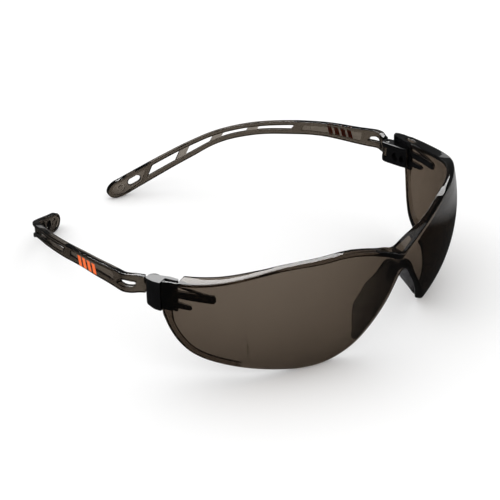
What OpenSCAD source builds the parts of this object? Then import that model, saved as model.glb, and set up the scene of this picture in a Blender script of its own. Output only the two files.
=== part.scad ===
// Wrap-around safety glasses, worn size, resting on the lens bottoms and the temple tips.
// +X is the wearer's left, +Y runs back to the temple tips, +Z is up.

/* [Lens] */
// Radius of the outer face of each lens half
lens_r = 60.9; // [56:0.1:66]
// Thickness of the lens
lens_t = 2.2; // [1.8:0.1:3]
// Sideways distance of each half's sphere centre from the middle plane
lens_cx = 11.9; // [6:0.1:16]
// Height of the sphere centres above the table
lens_cz = 33.4; // [28:0.1:38]
// Extra thickness of the rim along the rear edge of each side
rim_extra = 0.7; // [0:0.1:1.2]
// Width of that rim
rim_w = 3.2; // [2:0.1:5]

/* [Temples] */
// Thickness of a temple seen from above
temple_t = 2.4; // [1.8:0.1:3.5]
// Height of the upper rail
rail_top = 1.6; // [1:0.1:2.4]
// Height of the lower rail
rail_bot = 1.9; // [1:0.1:2.6]
// How far a bar between two windows sits back from each face
bar_recess = 0.5; // [0.2:0.1:0.9]
// How far the panel sits back on the inner face
panel_recess = 0.5; // [0.2:0.1:0.9]

/* [Hinges] */
// Sideways distance of a hinge axis from the middle plane
hinge_x = 67.2; // [60:0.1:72]
// Position of the hinge axes front to back
hinge_y = -22.7; // [-30:0.1:-15]
// Radius of a hinge pin
pin_r = 0.9; // [0.6:0.05:1.5]
// Running clearance round the pin in the temple's eye
pin_gap = 0.06; // [0.02:0.01:0.1]
// Radius of the temple's eye
eye_r = 2.1; // [1.8:0.1:2.2]
// Radius of the ears on the hinge block
ear_r = 2.3; // [2:0.1:2.5]
// Underside of the lower ear
ear_z0 = 28.0; // [27.2:0.1:28.6]
// Top of the lower ear
ear_z1 = 30.2; // [29.8:0.1:30.6]
// Underside of the upper ear
ear_z2 = 34.4; // [34:0.1:34.8]
// Top of the upper ear
ear_z3 = 36.0; // [35.6:0.1:36.4]
// Top of the clamp that holds the lens end
clamp_top = 38.2; // [37:0.1:39]

/* [Nose piece] */
// Thickness of the nose piece
nose_t = 1.5; // [1:0.1:2.5]

/* [Hidden] */
lens_cy = -19.5;

// ---- smooth curve through hand-set points [position, value] ----
function seg(T, x, i = 0) = (i >= len(T) - 2 || x < T[i + 1][0]) ? i : seg(T, x, i + 1);
function slope(T, i) = let (n = len(T) - 1)
    i <= 0 ? (T[1][1] - T[0][1]) / (T[1][0] - T[0][0]) :
    i >= n ? (T[n][1] - T[n - 1][1]) / (T[n][0] - T[n - 1][0]) :
    let (h0 = T[i][0] - T[i - 1][0], h1 = T[i + 1][0] - T[i][0],
         d0 = (T[i][1] - T[i - 1][1]) / h0, d1 = (T[i + 1][1] - T[i][1]) / h1)
    d0 * d1 <= 0 ? 0 : 3 * (h0 + h1) / ((2 * h1 + h0) / d0 + (h1 + 2 * h0) / d1);
function curve(T, xx) = let (x = min(max(xx, T[0][0]), T[len(T) - 1][0]), i = seg(T, x),
    h = T[i + 1][0] - T[i][0], u = (x - T[i][0]) / h, m0 = slope(T, i) * h, m1 = slope(T, i + 1) * h)
    T[i][1] * (2 * u * u * u - 3 * u * u + 1) + m0 * (u * u * u - 2 * u * u + u)
    + T[i + 1][1] * (3 * u * u - 2 * u * u * u) + m1 * (u * u * u - u * u);

// ---- lens: two spheres blended in the middle, described by a turn angle a and a height z ----
// a = 0 is straight ahead at the bridge, negative on the wearer's right
LENS_TOP = [[0, 34.8], [3, 36.3], [6, 38.1], [9, 39.8], [15, 42.7], [20, 44.6], [25, 45.9], [30, 46.4], [40, 46.4],
            [44, 46.2], [48, 45.7], [54, 44.2], [60, 42.4], [66, 40.8], [72, 39.6], [78, 38.9], [82, 38.6]];
LENS_BOT = [[0, 28.8], [2, 28.0], [4.4, 25.5], [8, 20.4], [12, 15.2], [16, 10.2], [20, 5.7], [24, 3.0], [29, 0.9],
            [35, 0], [41, 0.2], [48, 1.4], [54, 2.6], [60, 3.9], [66, 5.5], [72, 7.8], [75, 9.9], [78, 14.2],
            [80, 19.4], [81.5, 25.7]];
LEDGE_D = [[0, 5.5], [3, 5.3], [6, 4.8], [9, 4.0], [12, 3.2], [16, 2.8], [20, 2.7], [40, 2.7], [50, 3.2], [58, 4.4], [66, 5.2], [72, 5.7], [82, 5.8]];
LEDGE_H = [[0, 2.4], [30, 2.4], [45, 2.0], [60, 1.6], [82, 1.6]];
lens_end = 81.5;
ledge_end = 76.6;
function sabs(a) = sqrt(pow(sin(a), 2) + 0.0036);
// distance of the face from the middle axis, o is the depth below the outer face
function rad(a, z, o = 0) = let (q = pow(lens_r - o, 2) - pow(z - lens_cz, 2), s = sabs(a))
    lens_cx * s + sqrt(q - lens_cx * lens_cx * (1 - s * s));
function at(a, r, z) = [r * sin(a), lens_cy - r * cos(a), z];
function on_lens(a, z, o = 0) = at(a, rad(a, z, o), z);
function ztop(a) = curve(LENS_TOP, abs(a));
function zbot(a) = curve(LENS_BOT, abs(a));
function rim(a, z) = let (b = abs(a), dz = (zbot(min(b + 0.5, lens_end)) - zbot(b - 0.5)) / (0.5 + min(0.5, lens_end - b)) / 1.24,
    w = min((z - zbot(b)) / sqrt(1 + dz * dz), (lens_end - b) * 1.24)) b < 62 ? 0 : rim_extra * min(1, max(0, (rim_w - w) / 0.5));
function ledge(a) = abs(a) > ledge_end ? lens_t + 0.02 : curve(LEDGE_D, abs(a));
function arc_list() = concat([0, 1.5, 3], [for (i = [1:12]) 3 + i * 2.25], [for (i = [1:14]) 30 + i * 3],
    [73.5, 75, 76.2, ledge_end, ledge_end + 0.2, 77.8, 78.7, 79.5, 80.2, 80.8, lens_end]);
half_a = arc_list();
all_a = concat([for (i = [len(half_a) - 1:-1:1]) -half_a[i]], half_a);
nz = 11;
// one closed section: outer face up, over the ledge, inner face down
function lens_section(a) = let (zb = zbot(a), zt = ztop(a), d = ledge(a), h = min(curve(LEDGE_H, abs(a)), (zt - zb) * 0.5),
        ro = rad(a, zt), zu = zt - h, zr = curve(LENS_TOP, sqrt(a * a + 4)) + 0.12 * (d - lens_t))
    concat([for (i = [0:nz]) on_lens(a, zb + (zt - zb) * i / nz)],
           [at(a, ro - d, zr), at(a, ro - d, zr - h)],
           [for (i = [0:nz]) let (z = zu - (zu - zb) * i / nz) on_lens(a, z, lens_t + rim(a, z))]);

// closed skin over a list of sections, capped at both ends
module skin(S, flat = false) {
    n = len(S); m = len(S[0]);
    polyhedron(points = [for (s = S) each s],
        faces = concat(
            [for (i = [0:n - 2], j = [0:m - 1]) [i * m + j, i * m + (j + 1) % m, (i + 1) * m + j]],
            [for (i = [0:n - 2], j = [0:m - 1]) [i * m + (j + 1) % m, (i + 1) * m + (j + 1) % m, (i + 1) * m + j]],
            flat ? [[for (j = [m - 1:-1:0]) j], [for (j = [0:m - 1]) (n - 1) * m + j]] :
                   [for (j = [1:m - 2]) each [[0, j + 1, j], [(n - 1) * m, (n - 1) * m + j, (n - 1) * m + j + 1]]]), convexity = 10);
}

module lens() color("dimgray") skin([for (a = all_a) lens_section(a)], flat = true);

// ---- nose piece: a saddle behind the bridge that runs down into a pad on each side ----
// s runs from the wearer's right pad tip (-1) over the bridge (0) to the left pad tip (1)
PAD_A = [[0, 0], [0.12, 4.2], [0.3, 7.6], [0.5, 11.4], [0.7, 15.0], [0.85, 17.4], [1, 19.8]];
PAD_D = [[0, 5.2], [0.12, 6.2], [0.3, 8.2], [0.5, 8.4], [0.7, 6.0], [0.85, 3.4], [1, 1.2]];
PAD_O = [[0, 0.4], [0.12, 0.8], [0.3, 1.4], [0.5, 1.4], [0.7, 1.0], [0.85, 0.6], [1, 0.3]];
PAD_T = [[0, 2.6], [0.1, 2.3], [0.22, 1.5], [1, 1.3]];
nose_gap = 0.1;
function pad_root(s) = let (b = abs(s), a = curve(PAD_A, b), z = zbot(a)) on_lens(a * (s < 0 ? -1 : 1), z + 0.9, lens_t + nose_gap);
function nrm2(v) = v / max(0.0001, norm(v));
// unit direction across the pad, towards the nose
function across(s) = let (e = 0.02, p = pad_root(min(1, s + e)) - pad_root(max(-1, s - e)), t = nrm2([p[0], 0, p[2]])) [t[2], 0, -t[0]];
// turn angle and point on the lens's rear face at sideways place x and height z
function turn_at(x, z, o, a = 8, i = 6) = i == 0 ? a : turn_at(x, z, o, asin(abs(x) / rad(a, z, o)), i - 1);
function behind_lens(p) = let (o = lens_t + nose_gap, a = turn_at(p[0], p[2], o)) [p[0], lens_cy - rad(a, p[2], o) * cos(a), p[2]];
function pad_section(s) = let (b = abs(s), r = pad_root(s), c = across(s), d = curve(PAD_D, b), o = curve(PAD_O, b),
        t = curve(PAD_T, b) * nose_t / 1.5, k = [0, 1, 0], r2 = behind_lens(r - c * t), e = r2 - (r - c * t))
    concat([for (i = [0:6]) let (u = i / 6) r + k * (d * u) - c * (o * u * u)],
     [for (i = [6:-1:0]) let (u = i / 6) r + k * (d * u) + e * (1 - u) - c * (o * u * u) - c * t * (1 - 0.45 * u)]);
module nose_piece() color("black") skin([for (i = [-24:24]) pad_section(i / 24)], flat = true);

// ---- temple: follows a plan line of outer-face points, heights set along it ----
// distance along the temple -> sideways place of the outer face
TX = [[0, 69.7], [2.8, 71.0], [5.5, 72.4], [8.6, 73.0], [13, 72.3], [17, 71.6], [24.7, 70.5], [33.5, 68.8], [43, 66.6],
      [54, 63.2], [60.6, 60.8], [68.3, 57.3], [76, 53.4], [84, 48.8], [92, 43.4], [100, 37.6], [108, 31.1], [117, 23.3], [127, 14.2]];
// distance along the temple -> front to back place of the outer face
TY = [[0, -21.2], [2.8, -18.7], [5.5, -16.4], [8.6, -13.4], [13, -9.1], [17, -5.1], [24.7, 2.6], [33.5, 11.2], [43, 20.3],
      [54, 30.9], [60.6, 37.0], [68.3, 43.9], [76, 50.5], [84, 57.0], [92, 62.9], [100, 68.4], [108, 73.1], [117, 77.6], [127, 81.9]];
// distance along the temple -> upper edge and lower edge
TT = [[0, 36.3], [1.5, 36.3], [4, 36.6], [9, 36.3], [18, 35.6], [30, 34.8], [42, 33.4], [54, 31.5], [66, 29.1], [78, 25.6],
      [90, 20.6], [102, 15.1], [114, 10.2], [122, 7.4], [127, 6.0]];
TB = [[0, 29.9], [1.5, 29.9], [4, 29.6], [12, 29.0], [30, 29.0], [36, 28.6], [48, 27.0], [60, 25.2], [72, 22.3], [78, 20.1],
      [90, 13.7], [102, 7.6], [114, 2.4], [120, 0.3], [123, 0.0], [127, 0.0]];
temple_len = 126.4;
tip_c = 122.6;
tip_r = temple_len - tip_c;
function px(s) = [curve(TX, s), curve(TY, s)];
function pdir(s) = let (p = px(min(s + 0.7, 127)) - px(max(s - 0.7, 0))) p / norm(p);
function inward(s) = let (p = pdir(s)) [-p[1], p[0]];
function t_mid(s) = (curve(TT, s) + curve(TB, s)) / 2;
function round_end(s) = s <= tip_c ? 1 : sqrt(max(0.0004, 1 - pow((s - tip_c) / tip_r, 2)));
function t_up(s) = t_mid(s) + (curve(TT, s) - curve(TB, s)) / 2 * round_end(s);
function t_lo(s) = t_mid(s) - (curve(TT, s) - curve(TB, s)) / 2 * round_end(s);
function tp(s, z, o) = let (p = px(s), q = inward(s)) [p[0] + q[0] * o, p[1] + q[1] * o, z];
// stations between two places, about 3 mm apart, closer at the round end
function stations(s0, s1) = let (n = max(2, ceil((s1 - s0) / 3))) [for (i = [0:n]) s0 + (s1 - s0) * i / n];
function tip_stations() = [for (i = [1:7]) tip_c + tip_r * sin(i * 90 / 7 - (i == 7 ? 2 : 0))];
module strip(st, za, zb, o0, o1)
    skin([for (s = st) [tp(s, za(s), o0), tp(s, za(s), o1), tp(s, zb(s), o1), tp(s, zb(s), o0)]]);
rails = concat(stations(0.4, 4), [5, 6.5, 8, 9.5, 11], stations(13, tip_c), tip_stations());
// bar between two heights, its ends lean by k0 and k1
module bar(s0, s1, k0, k1, za, zb, o0, o1) {
    n = max(2, ceil((s1 - s0) / 2.5));
    skin([for (i = [0:n]) let (u = i / n, a = s0 + (s1 - s0) * u, k = k0 + (k1 - k0) * u, ta = a - k / 2, tb = a + k / 2)
        [tp(ta, za(ta), o0), tp(ta, za(ta), o1), tp(tb, zb(tb), o1), tp(tb, zb(tb), o0)]]);
}
module blank() skin([for (s = rails) [tp(s, t_up(s), 0), tp(s, t_up(s), temple_t), tp(s, t_lo(s), temple_t), tp(s, t_lo(s), 0)]]);
// opening right through, between the rails
module window(s0, s1, k0, k1) bar(s0, s1, k0, k1, function (s) t_up(s) - rail_top, function (s) t_lo(s) + rail_bot, -1.6, temple_t + 1.7);
// shallow pocket between the rails, cut from depth o0 to o1
module pocket(s0, s1, k0, k1, o0, o1) bar(s0, s1, k0, k1, function (s) t_up(s) - rail_top - 0.25, function (s) t_lo(s) + rail_bot + 0.25, o0, o1);
module temple_left_body() difference() {
    union() {
        blank();
        // eye and the tongue that joins it to the strip
        translate([hinge_x, hinge_y, ear_z1 + 0.3]) cylinder(r = eye_r, h = ear_z2 - ear_z1 - 0.6, $fn = 48);
        translate([0, 0, ear_z1 + 0.4]) linear_extrude(height = ear_z2 - ear_z1 - 0.8)
            polygon([[69.1, -23.6], [70.0, -19.9], [68.3, -19.0], [65.4, -21.8]]);
    }
    // windows
    bar(3.4, 11.6, 0.6, 1.2, function (s) t_mid(s) + 1.2, function (s) t_mid(s) - 1.1, -1.6, temple_t + 1.7);
    window(46.2, 61.2, 1.8, 1.8);
    window(65.9, 76.4, 1.8, 1.8);
    window(81.1, 91.2, 2.2, 2.2);
    window(95.5, 107.6, 2.4, 2.4);
    // recesses of the panel and of the bars
    pocket(14.6, 41.6, 0, 0, temple_t - panel_recess, temple_t + 1);
    pocket(60.4, 66.7, 1.8, 1.8, temple_t - bar_recess, temple_t + 1);
    pocket(75.6, 81.9, 1.8, 1.8, temple_t - bar_recess, temple_t + 1);
    pocket(90.3, 96.4, 2.2, 2.4, temple_t - bar_recess, temple_t + 1);
    pocket(60.4, 66.7, 1.8, 1.8, -1, bar_recess);
    pocket(75.6, 81.9, 1.8, 1.8, -1, bar_recess);
    pocket(90.3, 96.4, 2.2, 2.4, -1, bar_recess);
    pocket(106.6, 110.6, 2.4, 0, temple_t - bar_recess, temple_t + 1);
    // bore of the eye
    translate([hinge_x, hinge_y, 20]) cylinder(r = pin_r + pin_gap, h = 30, $fn = 48);
    // oval hole for a cord
    frame_at(114.5, -2) linear_extrude(height = temple_t + 4) polygon([for (i = [0:31]) let (t = i * 11.25)
        [1.75 * cos(t), 1.75 * sin(t) + (sin(t) > 0 ? 1.3 : -1.3)]]);
    // ring pressed into the inner face near the tip
    frame_at(120.9, temple_t - 0.5) difference() { cylinder(r = 1.9, h = 2, $fn = 32); translate([0, 0, -1]) cylinder(r = 1.2, h = 4, $fn = 32); }
}
// frame with z square to the temple's face at distance s, and y along it
module frame_at(s, o) let (p = tp(s, t_mid(s), o), q = inward(s), u = atan2(t_mid(s + 1) - t_mid(s - 1), 2))
    translate(p) rotate([0, 0, atan2(q[1], q[0])]) rotate([0, 90, 0]) rotate([0, 0, u]) children();

module temple_left() color("gray") temple_left_body();
module temple_right() color("gray") mirror([1, 0, 0]) temple_left_body();

// ---- hinge block: ears round the pin, a body behind the lens end, prongs along the inside of the lens ----
blk_gap = 0.08;
// strip lying on the inner side of the lens from angle a0 to a1, heights change from [z0, z1] to [y0, y1]
module prong(a0, a1, z0, z1, y0, y1, t0, t1, g = 0) {
    n = 6;
    skin([for (i = [n:-1:0]) let (u = i / n, a = a0 + (a1 - a0) * u, lo = z0 + (y0 - z0) * u, hi = z1 + (y1 - z1) * u, t = t0 + (t1 - t0) * u)
        [on_lens(a, lo, lens_t + rim_extra * (1 - u) + blk_gap + g), on_lens(a, hi, lens_t + rim_extra * (1 - u) + blk_gap + g),
         on_lens(a, hi, lens_t + rim_extra * (1 - u) + blk_gap + t), on_lens(a, lo, lens_t + rim_extra * (1 - u) + blk_gap + t)]]);
}
function flat2(p) = [p[0], p[1]];
// plan outline of the clamp round the lens end: lens end, outer side, rear end, inner side, behind the lens
clamp_plan = concat(
    [flat2(on_lens(81.75, 33, lens_t + rim_extra + 0.45)), flat2(on_lens(81.75, 33, 0)),
     [72.4, -27.0], [72.2, -24.2], [71.6, -23.1], [69.2, -23.9], [66.9, -30.5], [66.5, -33.8]],
    [for (a = [77.5, 79, 80.5]) flat2(on_lens(a, 33, lens_t + rim_extra + 0.45))]);
// plan outline of the lower body that carries the ears
body_plan = concat([[69.0, -28.0], [70.3, -25.0]],
    [for (i = [0:15]) let (t = -10 + i * 12) [hinge_x + ear_r * cos(t), hinge_y + ear_r * sin(t)]],
    [[64.9, -23.4], [64.9, -30.2], [65.3, -33.0], [67.2, -33.2]]);
module hinge_block_left_body() difference() {
    union() {
        translate([0, 0, 27.0]) linear_extrude(height = clamp_top - 26.3) polygon(clamp_plan);
        translate([0, 0, ear_z0]) linear_extrude(height = ear_z3 - ear_z0) polygon(body_plan);
        prong(79.2, 66.0, 32.4, 34.9, 32.5, 35.6, 1.5, 1.1);
        prong(79.3, 67.6, 37.1, 37.8, 34.8, 35.5, 1.4, 1.0, 0.05);
        prong(78.9, 73.0, 28.4, 31.0, 28.9, 30.5, 1.4, 1.0);
    }
    translate([hinge_x, hinge_y, 20]) cylinder(r = pin_r, h = 30, $fn = 48);
    // room for the temple's eye
    translate([hinge_x, hinge_y, ear_z1]) cylinder(r = eye_r + 0.45, h = ear_z2 - ear_z1, $fn = 48);
    // top slopes down towards the outer side
    translate([72.4, -40, clamp_top - 0.15]) rotate([0, 5, 0]) translate([-12, 0, 0]) cube([16, 20, 5]);
    // slanted underside at the rear
    translate([60, -31.4, 26.3]) rotate([12, 0, 0]) translate([0, 0, -8]) cube([20, 20, 8]);
}
module hinge_block_left() color("black") hinge_block_left_body();
module hinge_block_right() color("black") mirror([1, 0, 0]) hinge_block_left_body();

module pin_body() translate([hinge_x, hinge_y, ear_z0 + 0.3]) cylinder(r = pin_r, h = ear_z3 - ear_z0 - 0.6, $fn = 48);
module hinge_pin_left() color("silver") pin_body();
module hinge_pin_right() color("silver") mirror([1, 0, 0]) pin_body();

lens();
nose_piece();
hinge_block_right();
hinge_block_left();
hinge_pin_right();
hinge_pin_left();
temple_right();
temple_left();
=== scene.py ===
import math

import bmesh
import bpy
from mathutils import Matrix, Vector
from mathutils.geometry import delaunay_2d_cdt


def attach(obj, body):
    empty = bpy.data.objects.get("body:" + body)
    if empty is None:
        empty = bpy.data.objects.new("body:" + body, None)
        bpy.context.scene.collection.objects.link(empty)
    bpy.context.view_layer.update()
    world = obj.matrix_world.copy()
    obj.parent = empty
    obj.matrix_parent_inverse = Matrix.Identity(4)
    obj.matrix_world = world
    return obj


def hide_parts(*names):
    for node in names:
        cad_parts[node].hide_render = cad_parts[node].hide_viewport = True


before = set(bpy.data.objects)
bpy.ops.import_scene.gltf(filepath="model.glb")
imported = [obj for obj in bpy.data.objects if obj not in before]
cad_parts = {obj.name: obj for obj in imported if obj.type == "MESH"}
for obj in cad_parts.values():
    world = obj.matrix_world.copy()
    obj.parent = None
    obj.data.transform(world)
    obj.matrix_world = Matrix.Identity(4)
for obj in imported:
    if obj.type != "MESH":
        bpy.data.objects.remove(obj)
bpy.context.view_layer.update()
MM = 0.001


# ------------------------------------------------------------------ camera
def make_camera():
    data = bpy.data.cameras.new("cam")
    cam = bpy.data.objects.new("cam", data)
    bpy.context.scene.collection.objects.link(cam)
    data.sensor_width = 36.0
    data.lens = 136.8
    right = Vector((0.6452700926808425, -0.7635666552688328, -0.024340715955458052))
    down = Vector((-0.3823426942635714, -0.29519570867590966, -0.8755989708323101))
    ahead = Vector((0.6613929026191089, 0.5743043239789292, -0.48242509452160043))
    t = Vector((-6.1458, 8.1830, 724.8158))
    rot = Matrix((right, -down, -ahead)).transposed()
    loc = -(right * t.x + down * t.y + ahead * t.z) * MM
    cam.matrix_world = Matrix.Translation(loc) @ rot.to_4x4()
    data.clip_start, data.clip_end = 0.01, 20
    bpy.context.scene.camera = cam
    return cam


make_camera()

# ------------------------------------------------------------------ the shape's own numbers (mm, degrees)
lens_r, lens_t, lens_cx, lens_cz, lens_cy = 60.9, 2.2, 11.9, 33.4, -19.5
rim_extra, rim_w = 0.7, 3.2
temple_t, rail_top, rail_bot, bar_recess, panel_recess = 2.4, 1.6, 1.9, 0.5, 0.5
hinge_x, hinge_y, pin_r, pin_gap, eye_r, ear_r = 67.2, -22.7, 0.9, 0.06, 2.1, 2.3
ear_z0, ear_z1, ear_z2, ear_z3, clamp_top = 28.0, 30.2, 34.4, 36.0, 38.2
lens_end, ledge_end = 81.5, 76.6
LENS_TOP = [[0, 34.8], [3, 36.3], [6, 38.1], [9, 39.8], [15, 42.7], [20, 44.6], [25, 45.9], [30, 46.4], [40, 46.4],
            [44, 46.2], [48, 45.7], [54, 44.2], [60, 42.4], [66, 40.8], [72, 39.6], [78, 38.9], [82, 38.6]]
LENS_BOT = [[0, 28.8], [2, 28.0], [4.4, 25.5], [8, 20.4], [12, 15.2], [16, 10.2], [20, 5.7], [24, 3.0], [29, 0.9],
            [35, 0], [41, 0.2], [48, 1.4], [54, 2.6], [60, 3.9], [66, 5.5], [72, 7.8], [75, 9.9], [78, 14.2],
            [80, 19.4], [81.5, 25.7]]
LEDGE_D = [[0, 5.5], [3, 5.3], [6, 4.8], [9, 4.0], [12, 3.2], [16, 2.8], [20, 2.7], [40, 2.7], [50, 3.2], [58, 4.4], [66, 5.2], [72, 5.7], [82, 5.8]]
LEDGE_H = [[0, 2.4], [30, 2.4], [45, 2.0], [60, 1.6], [82, 1.6]]
PAD_A = [[0, 0], [0.12, 4.2], [0.3, 7.6], [0.5, 11.4], [0.7, 15.0], [0.85, 17.4], [1, 19.8]]
PAD_D = [[0, 5.2], [0.12, 6.2], [0.3, 8.2], [0.5, 8.4], [0.7, 6.0], [0.85, 3.4], [1, 1.2]]
PAD_O = [[0, 0.4], [0.12, 0.8], [0.3, 1.4], [0.5, 1.4], [0.7, 1.0], [0.85, 0.6], [1, 0.3]]
PAD_T = [[0, 2.6], [0.1, 2.3], [0.22, 1.5], [1, 1.3]]
nose_gap, blk_gap = 0.1, 0.08
TX = [[0, 69.7], [2.8, 71.0], [5.5, 72.4], [8.6, 73.0], [13, 72.3], [17, 71.6], [24.7, 70.5], [33.5, 68.8], [43, 66.6],
      [54, 63.2], [60.6, 60.8], [68.3, 57.3], [76, 53.4], [84, 48.8], [92, 43.4], [100, 37.6], [108, 31.1], [117, 23.3],
      [127, 14.2]]
TY = [[0, -21.2], [2.8, -18.7], [5.5, -16.4], [8.6, -13.4], [13, -9.1], [17, -5.1], [24.7, 2.6], [33.5, 11.2], [43, 20.3],
      [54, 30.9], [60.6, 37.0], [68.3, 43.9], [76, 50.5], [84, 57.0], [92, 62.9], [100, 68.4], [108, 73.1], [117, 77.6],
      [127, 81.9]]
TT = [[0, 36.3], [1.5, 36.3], [4, 36.6], [9, 36.3], [18, 35.6], [30, 34.8], [42, 33.4], [54, 31.5], [66, 29.1],
      [78, 25.6], [90, 20.6], [102, 15.1], [114, 10.2], [122, 7.4], [127, 6.0]]
TB = [[0, 29.9], [1.5, 29.9], [4, 29.6], [12, 29.0], [30, 29.0], [36, 28.6], [48, 27.0], [60, 25.2], [72, 22.3],
      [78, 20.1], [90, 13.7], [102, 7.6], [114, 2.4], [120, 0.3], [123, 0.0], [127, 0.0]]
temple_len, tip_c = 126.4, 122.6
tip_r = temple_len - tip_c


def slope(T, i):
    n = len(T) - 1
    if i <= 0:
        return (T[1][1] - T[0][1]) / (T[1][0] - T[0][0])
    if i >= n:
        return (T[n][1] - T[n - 1][1]) / (T[n][0] - T[n - 1][0])
    h0, h1 = T[i][0] - T[i - 1][0], T[i + 1][0] - T[i][0]
    d0, d1 = (T[i][1] - T[i - 1][1]) / h0, (T[i + 1][1] - T[i][1]) / h1
    return 0 if d0 * d1 <= 0 else 3 * (h0 + h1) / ((2 * h1 + h0) / d0 + (h1 + 2 * h0) / d1)


def curve(T, xx):
    x = min(max(xx, T[0][0]), T[-1][0])
    i = 0
    while i < len(T) - 2 and x >= T[i + 1][0]:
        i += 1
    h = T[i + 1][0] - T[i][0]
    u = (x - T[i][0]) / h
    m0, m1 = slope(T, i) * h, slope(T, i + 1) * h
    return (T[i][1] * (2 * u ** 3 - 3 * u * u + 1) + m0 * (u ** 3 - 2 * u * u + u)
            + T[i + 1][1] * (3 * u * u - 2 * u ** 3) + m1 * (u ** 3 - u * u))


def rad(a, z, o=0.0):
    q = (lens_r - o) ** 2 - (z - lens_cz) ** 2
    s = math.sqrt(math.sin(math.radians(a)) ** 2 + 0.0036)
    return lens_cx * s + math.sqrt(q - lens_cx * lens_cx * (1 - s * s))


def at(a, r, z):
    t = math.radians(a)
    return Vector((r * math.sin(t), lens_cy - r * math.cos(t), z))


def on_lens(a, z, o=0.0):
    return at(a, rad(a, z, o), z)


def ztop(a):
    return curve(LENS_TOP, abs(a))


def zbot(a):
    return curve(LENS_BOT, abs(a))


def sstep(x):
    x = min(1.0, max(0.0, x))
    return x * x * (3 - 2 * x)


# ------------------------------------------------------------------ mesh helpers
def make_mesh(name, verts, faces, sharp=38.0, scale=MM):
    me = bpy.data.meshes.new(name)
    me.from_pydata([tuple(Vector(v) * scale) for v in verts], [], faces)
    me.validate()
    bm = bmesh.new()
    bm.from_mesh(me)
    bmesh.ops.recalc_face_normals(bm, faces=bm.faces)
    bm.to_mesh(me)
    bm.free()
    ob = bpy.data.objects.new(name, me)
    bpy.context.scene.collection.objects.link(ob)
    smooth(ob, sharp)
    return ob


def smooth(ob, sharp=38.0):
    me = ob.data
    me.polygons.foreach_set("use_smooth", [True] * len(me.polygons))
    me.set_sharp_from_angle(angle=math.radians(sharp))
    me.update()


def skin(name, sections, sharp=38.0):
    """Closed skin over a list of closed sections with the same number of points."""
    n, m = len(sections), len(sections[0])
    verts = [p for s in sections for p in s]
    faces = [(i * m + j, i * m + (j + 1) % m, (i + 1) * m + (j + 1) % m, (i + 1) * m + j)
             for i in range(n - 1) for j in range(m)]
    for base, flip in ((0, True), ((n - 1) * m, False)):
        c = sum((Vector(verts[base + j]) for j in range(m)), Vector()) / m
        pts = [Vector(verts[base + j]) for j in range(m)]
        nrm = Vector()
        for j in range(m):
            nrm += (pts[j] - c).cross(pts[(j + 1) % m] - c)
        nrm.normalize()
        u = (pts[m // 4] - c)
        u = (u - nrm * u.dot(nrm)).normalized()
        w = nrm.cross(u)
        flat = [Vector(((p - c).dot(u), (p - c).dot(w))) for p in pts]
        for tri in fill(flat, []):
            tri = [base + t for t in tri]
            faces.append(tuple(reversed(tri)) if flip else tuple(tri))
    return make_mesh(name, verts, faces, sharp)


def inside(p, loop):
    c, n = False, len(loop)
    for i in range(n):
        a, b = loop[i], loop[(i + 1) % n]
        if (a[1] > p[1]) != (b[1] > p[1]) and p[0] < (b[0] - a[0]) * (p[1] - a[1]) / (b[1] - a[1]) + a[0]:
            c = not c
    return c


def fill(outer, holes, extra=()):
    """Triangles over a flat region with holes. Indices run over outer, then each hole, then extra."""
    pts = [Vector(p[:2]) for p in outer]
    edges = [(i, (i + 1) % len(outer)) for i in range(len(outer))]
    for h in holes:
        b = len(pts)
        pts += [Vector(p[:2]) for p in h]
        edges += [(b + i, b + (i + 1) % len(h)) for i in range(len(h))]
    pts += [Vector(p[:2]) for p in extra]
    vs, _, tris, orig, _, _ = delaunay_2d_cdt(pts, edges, [], 0, 1e-6)
    out = []
    for t in tris:
        c = sum((vs[i] for i in t), Vector((0, 0))) / len(t)
        if inside(c, outer) and not any(inside(c, h) for h in holes):
            ids = [orig[i][0] if orig[i] else -1 for i in t]
            if -1 not in ids and len(set(ids)) == len(ids):
                out.append(ids)
    return out


def offset_loop(loop, d):
    """Moves a closed loop sideways by d along its vertex normals; positive goes to the left of its direction."""
    n, out = len(loop), []
    for i in range(n):
        a, b, c = Vector(loop[i - 1]), Vector(loop[i]), Vector(loop[(i + 1) % n])
        e0, e1 = (b - a), (c - b)
        e0 = e0.normalized() if e0.length > 1e-9 else e1.normalized()
        e1 = e1.normalized() if e1.length > 1e-9 else e0
        n0, n1 = Vector((-e0.y, e0.x)), Vector((-e1.y, e1.x))
        m = (n0 + n1)
        m = m.normalized() if m.length > 1e-6 else n0
        k = max(0.6, m.dot(n0))
        out.append(b + m * (d / k))
    return out


def area(loop):
    return 0.5 * sum(loop[i][0] * loop[(i + 1) % len(loop)][1] - loop[(i + 1) % len(loop)][0] * loop[i][1]
                     for i in range(len(loop)))


def ccw(loop):
    return loop if area(loop) > 0 else list(reversed(loop))


def resample(line, step):
    """Points along a polyline about step apart, ends kept."""
    line = [Vector(p) for p in line]
    cum = [0.0]
    for a, b in zip(line, line[1:]):
        cum.append(cum[-1] + (b - a).length)
    n = max(1, round(cum[-1] / step))
    out, j = [], 0
    for k in range(n + 1):
        d = cum[-1] * k / n
        while j < len(cum) - 2 and cum[j + 1] < d:
            j += 1
        f = 0 if cum[j + 1] == cum[j] else (d - cum[j]) / (cum[j + 1] - cum[j])
        out.append(line[j].lerp(line[j + 1], min(1, max(0, f))))
    return out


def trim(line, d0, d1):
    line = [Vector(p) for p in line]

    def cut(l, d):
        while len(l) > 2 and (l[1] - l[0]).length < d:
            d -= (l[1] - l[0]).length
            l = l[1:]
        return [l[0] + (l[1] - l[0]) * min(0.95, d / max(1e-9, (l[1] - l[0]).length))] + l[1:]

    line = cut(line, d0)
    return list(reversed(cut(list(reversed(line)), d1)))


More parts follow.
